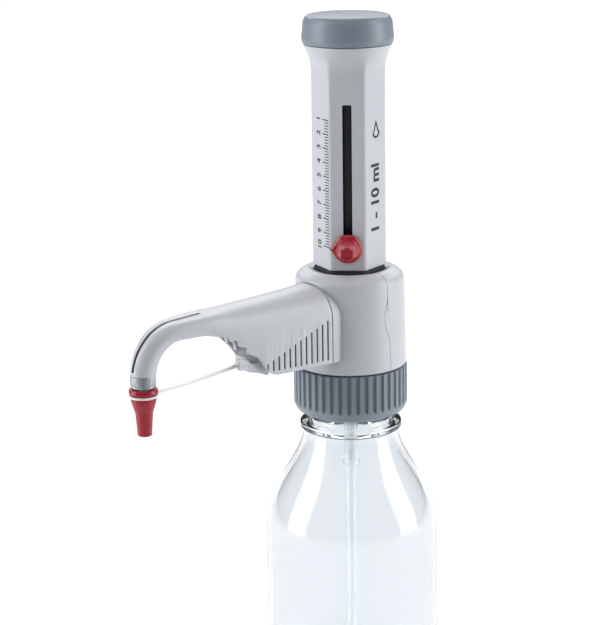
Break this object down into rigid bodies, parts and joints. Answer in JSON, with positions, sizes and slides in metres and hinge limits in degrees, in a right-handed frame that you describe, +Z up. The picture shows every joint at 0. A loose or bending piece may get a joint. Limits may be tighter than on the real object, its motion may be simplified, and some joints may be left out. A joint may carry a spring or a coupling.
{
  "type": "bottle-top dispenser",
  "caption": "Hand-pumped bottle-top dispenser with a ribbed thread ring, sloping discharge arm and tethered cap, standing on a round laboratory bottle.",
  "frame": {"origin": "centre of the bottle's underside, on the surface it stands on", "axes": "+Z up along the bottle's axis; the discharge arm points along -X; +Y completes the right-handed frame"},
  "size_m": [0.1749, 0.086, 0.3523],
  "materials": {
    "glass": "clear borosilicate glass",
    "pale_plastic": "fine satin moulded polypropylene",
    "slate_plastic": "satin moulded polypropylene",
    "dark_plastic": "matt elastomer and filled plastic",
    "black_plastic": "matt moulded plastic",
    "red_plastic": "satin moulded polypropylene",
    "fluoropolymer": "milky fluoropolymer",
    "ceramic": "polished ceramic",
    "steel": "spring and pin steel"
  },
  "bodies": {
    "bottle": {"bottle": "glass"},
    "seal": {"bottle_seal": "fluoropolymer"},
    "grip_ring": {"thread_ring": "slate_plastic"},
    "dispenser": {"swivel_washer": "dark_plastic", "valve_block": "fluoropolymer", "filling_valve_seat": "fluoropolymer", "upper_filling_tube": "fluoropolymer", "glass_cylinder": "glass", "guide_tube": "black_plastic", "front_housing": "pale_plastic", "rear_housing": "pale_plastic", "vent_plug": "slate_plastic", "sleeve_seat": "dark_plastic", "discharge_valve_body": "fluoropolymer", "discharge_valve_spring": "steel", "discharge_tube": "fluoropolymer", "nozzle_sleeve": "fluoropolymer", "discharge_arm": "pale_plastic", "tether_bracket": "pale_plastic", "tether_pin": "steel"},
    "filling_ball": {"filling_valve_ball": "ceramic"},
    "telescoping_tube": {"lower_filling_tube": "fluoropolymer"},
    "discharge_ball": {"discharge_valve_ball": "ceramic"},
    "tether": {"cap_tether": "fluoropolymer"},
    "cap": {"screw_cap": "red_plastic"},
    "pump": {"handle_sleeve": "pale_plastic", "top_cap": "slate_plastic", "calibration_nut": "black_plastic", "piston_rod": "ceramic", "piston_head": "fluoropolymer"},
    "pointer": {"volume_pointer": "red_plastic", "pointer_clamp": "black_plastic"},
    "knob": {"pointer_knob": "red_plastic"}
  },
  "joints": [
    {"name": "head_lift", "type": "slide", "parent": "bottle", "child": "seal", "axis": [0, 0, 1], "range_m": [0, 0.17]},
    {"name": "ring_turn", "type": "hinge", "parent": "seal", "child": "grip_ring", "pos_m": [0, 0, 0.17], "axis": [0, 0, 1], "continuous": true},
    {"name": "head_swivel", "type": "hinge", "parent": "seal", "child": "dispenser", "pos_m": [0, 0, 0.19], "axis": [0, 0, 1], "continuous": true},
    {"name": "pump_stroke", "type": "slide", "parent": "dispenser", "child": "pump", "axis": [0, 0, 1], "range_m": [0, 0.068]},
    {"name": "volume_set", "type": "slide", "parent": "pump", "child": "pointer", "axis": [0, 0, 1], "range_m": [0, 0.0612]},
    {"name": "knob_turn", "type": "hinge", "parent": "pointer", "child": "knob", "pos_m": [-0.01389, -0.01439, 0.242], "axis": [-0.6947, -0.7193, 0], "range_deg": [0, 270]},
    {"name": "tether_swing", "type": "hinge", "parent": "dispenser", "child": "tether", "pos_m": [-0.0687, 0, 0.1934], "axis": [0, -1, 0], "range_deg": [0, 90]},
    {"name": "cap_turn", "type": "hinge", "parent": "tether", "child": "cap", "pos_m": [-0.125, 0, 0.19], "axis": [0, 0, 1], "continuous": true},
    {"name": "tube_telescope", "type": "slide", "parent": "dispenser", "child": "telescoping_tube", "axis": [0, 0, 1], "range_m": [0, 0.03]},
    {"name": "filling_ball_lift", "type": "slide", "parent": "dispenser", "child": "filling_ball", "axis": [0, 0, 1], "range_m": [0, 0.0015]},
    {"name": "discharge_ball_lift", "type": "slide", "parent": "dispenser", "child": "discharge_ball", "axis": [-1, 0, 0], "range_m": [0, 0.001], "stiffness_N_per_m": 15, "springref_m": -0.0005}
  ]
}
